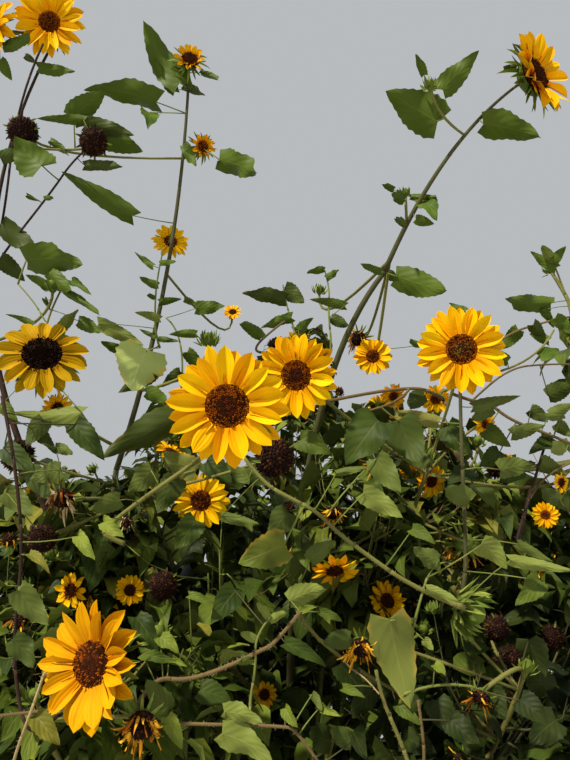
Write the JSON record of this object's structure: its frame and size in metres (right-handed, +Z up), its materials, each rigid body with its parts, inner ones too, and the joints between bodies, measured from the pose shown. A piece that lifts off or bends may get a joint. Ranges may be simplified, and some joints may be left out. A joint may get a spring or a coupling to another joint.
{
  "type": "sunflower plant",
  "caption": "Tall branching sunflower, rooted: ribbed main stem, upswept boughs and masses of leafy twigs with yellow flower heads, buds, withered heads and seed heads.",
  "frame": {"origin": "middle of the flat cut under the main stem, at ground level", "axes": "+Z up along the main stem, -Y the side that faces the viewer, +X to the viewer's right"},
  "size_m": [1.4726, 1.5632, 2.425],
  "materials": {
    "stem": "matte, ribbed and bristly green stem, browner towards the foot",
    "bough": "matte, ribbed and hairy green to reddish brown side stems",
    "foliage": "satin green leaves with paler undersides, golden yellow rays, brown discs"
  },
  "bodies": {
    "root": {"main_stem": "stem", "bough_low_1": "bough", "foliage_low_1": "foliage", "bough_low_2": "bough", "foliage_low_2": "foliage", "bough_low_3": "bough", "foliage_low_3": "foliage", "bough_low_4": "bough", "foliage_low_4": "foliage", "bough_low_5": "bough", "foliage_low_5": "foliage", "bough_middle_1": "bough", "foliage_middle_1": "foliage", "bough_middle_2": "bough", "foliage_middle_2": "foliage", "bough_middle_3": "bough", "foliage_middle_3": "foliage", "bough_middle_4": "bough", "foliage_middle_4": "foliage", "bough_middle_5": "bough", "foliage_middle_5": "foliage", "bough_middle_6": "bough", "foliage_middle_6": "foliage", "bough_middle_7": "bough", "foliage_middle_7": "foliage", "bough_high_1": "bough", "foliage_high_1": "foliage", "bough_high_2": "bough", "foliage_high_2": "foliage", "bough_high_3": "bough", "foliage_high_3": "foliage", "bough_high_4": "bough", "foliage_high_4": "foliage", "bough_high_5": "bough", "foliage_high_5": "foliage", "bough_high_6": "bough", "foliage_high_6": "foliage", "bough_high_7": "bough", "foliage_high_7": "foliage", "bough_high_8": "bough", "foliage_high_8": "foliage", "bough_shoot_left": "bough", "foliage_shoot_left": "foliage", "bough_shoot_middle": "bough", "foliage_shoot_middle": "foliage", "bough_shoot_right": "bough", "foliage_shoot_right": "foliage", "bough_shoot_far_right": "bough", "foliage_shoot_far_right": "foliage", "bough_shoot_back_left": "bough", "foliage_shoot_back_left": "foliage", "bough_shoot_back_right": "bough", "foliage_shoot_back_right": "foliage", "foliage_crown_top": "foliage"}
  },
  "joints": []
}
